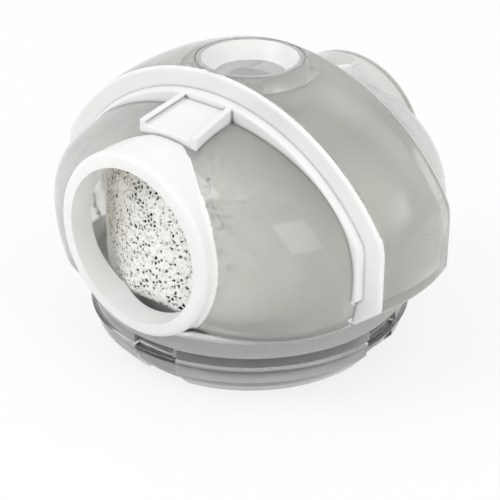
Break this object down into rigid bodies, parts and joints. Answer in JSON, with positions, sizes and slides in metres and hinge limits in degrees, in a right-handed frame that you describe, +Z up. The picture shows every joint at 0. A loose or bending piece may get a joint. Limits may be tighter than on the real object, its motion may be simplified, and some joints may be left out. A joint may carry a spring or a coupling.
{
  "type": "heat and moisture exchanger",
  "caption": "Clear domed heat and moisture exchanger with a foam core, two side inlets, a saddle strap, a press button valve and a slotted 22 mm collar.",
  "frame": {"origin": "centre of the base, on the bottom of the slotted collar", "axes": "+Z up along the collar's axis, the two inlets face -Y and +Y, the saddle strap runs from -X to +X"},
  "size_m": [0.029, 0.024, 0.0201],
  "materials": {
    "dome": "clear moulded plastic",
    "collar": "clear moulded plastic",
    "button": "clear moulded plastic",
    "disc": "soft matt",
    "spring": "drawn wire",
    "foam": "open-cell foam"
  },
  "bodies": {
    "housing": {"dome_housing": "dome", "base_collar": "collar", "foam_core": "foam", "return_spring": "spring"},
    "button": {"press_button": "button", "valve_disc": "disc"}
  },
  "joints": [
    {"name": "button_press", "type": "slide", "parent": "housing", "child": "button", "axis": [0, 0, 1], "range_m": [-0.0014, 0], "stiffness_N_per_m": 500, "springref_m": 0.0004, "deforming": ["return_spring"]}
  ]
}
